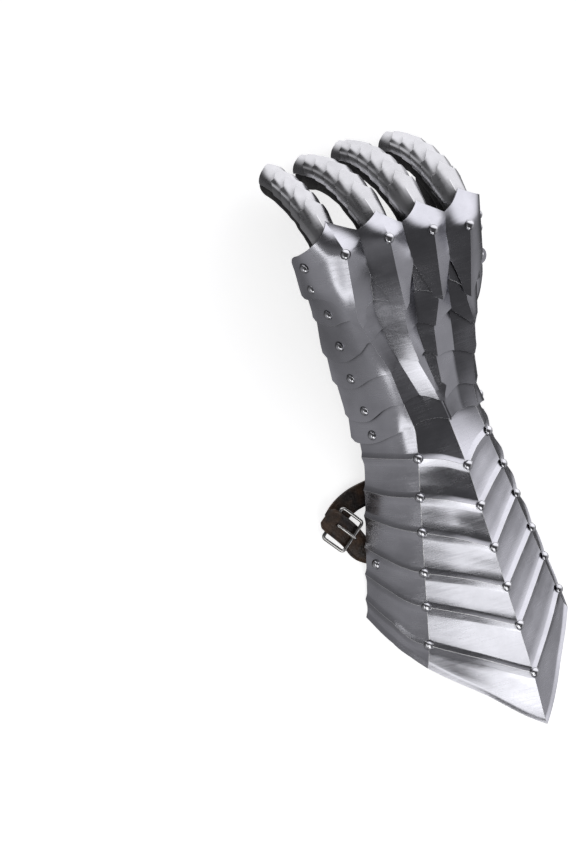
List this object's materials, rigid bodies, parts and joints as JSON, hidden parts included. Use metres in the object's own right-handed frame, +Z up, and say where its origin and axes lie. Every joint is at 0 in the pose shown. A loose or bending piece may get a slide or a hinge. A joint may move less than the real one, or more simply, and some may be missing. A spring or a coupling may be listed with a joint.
{
  "type": "armoured gauntlet",
  "caption": "Left-hand steel plate gauntlet with a fluted pointed cuff, wrist lames, spiked knuckle plate and scaled fingers over a black leather glove, with a strap and buckle.",
  "frame": {"origin": "middle of the underside's box, on the surface that it rests on", "axes": "+Y towards the fingers, +X towards the thumb side, +Z up out of the back of the hand"},
  "size_m": [0.1558, 0.3868, 0.1013],
  "materials": {
    "plate_steel": "satin polish with faint brushed streaks and bright edges",
    "glove_leather": "worn black leather",
    "strap_leather": "dark brown strap leather, worn",
    "buckle_nickel": "nickel plated"
  },
  "bodies": {
    "root": {"cuff": "plate_steel", "lame_1": "plate_steel", "lame_2": "plate_steel", "lame_3": "plate_steel", "lame_4": "plate_steel", "lame_5": "plate_steel", "knuckle_plate": "plate_steel", "pinky_scale_1": "plate_steel", "pinky_scale_2": "plate_steel", "pinky_scale_3": "plate_steel", "pinky_scale_4": "plate_steel", "pinky_tip": "plate_steel", "ring_scale_1": "plate_steel", "ring_scale_2": "plate_steel", "ring_scale_3": "plate_steel", "ring_scale_4": "plate_steel", "ring_scale_5": "plate_steel", "ring_tip": "plate_steel", "middle_scale_1": "plate_steel", "middle_scale_2": "plate_steel", "middle_scale_3": "plate_steel", "middle_scale_4": "plate_steel", "middle_scale_5": "plate_steel", "middle_scale_6": "plate_steel", "middle_tip": "plate_steel", "index_scale_1": "plate_steel", "index_scale_2": "plate_steel", "index_scale_3": "plate_steel", "index_scale_4": "plate_steel", "index_scale_5": "plate_steel", "index_tip": "plate_steel", "thumb_dome": "plate_steel", "thumb_scale_1": "plate_steel", "thumb_scale_2": "plate_steel", "thumb_scale_3": "plate_steel", "thumb_tip": "plate_steel", "hinge_leaf_hand": "plate_steel", "hinge_leaf_thumb": "plate_steel", "hinge_pin": "plate_steel", "glove": "glove_leather", "strap_tongue": "strap_leather", "strap_carrier": "strap_leather", "buckle_frame": "buckle_nickel", "buckle_prong": "buckle_nickel"}
  },
  "joints": []
}
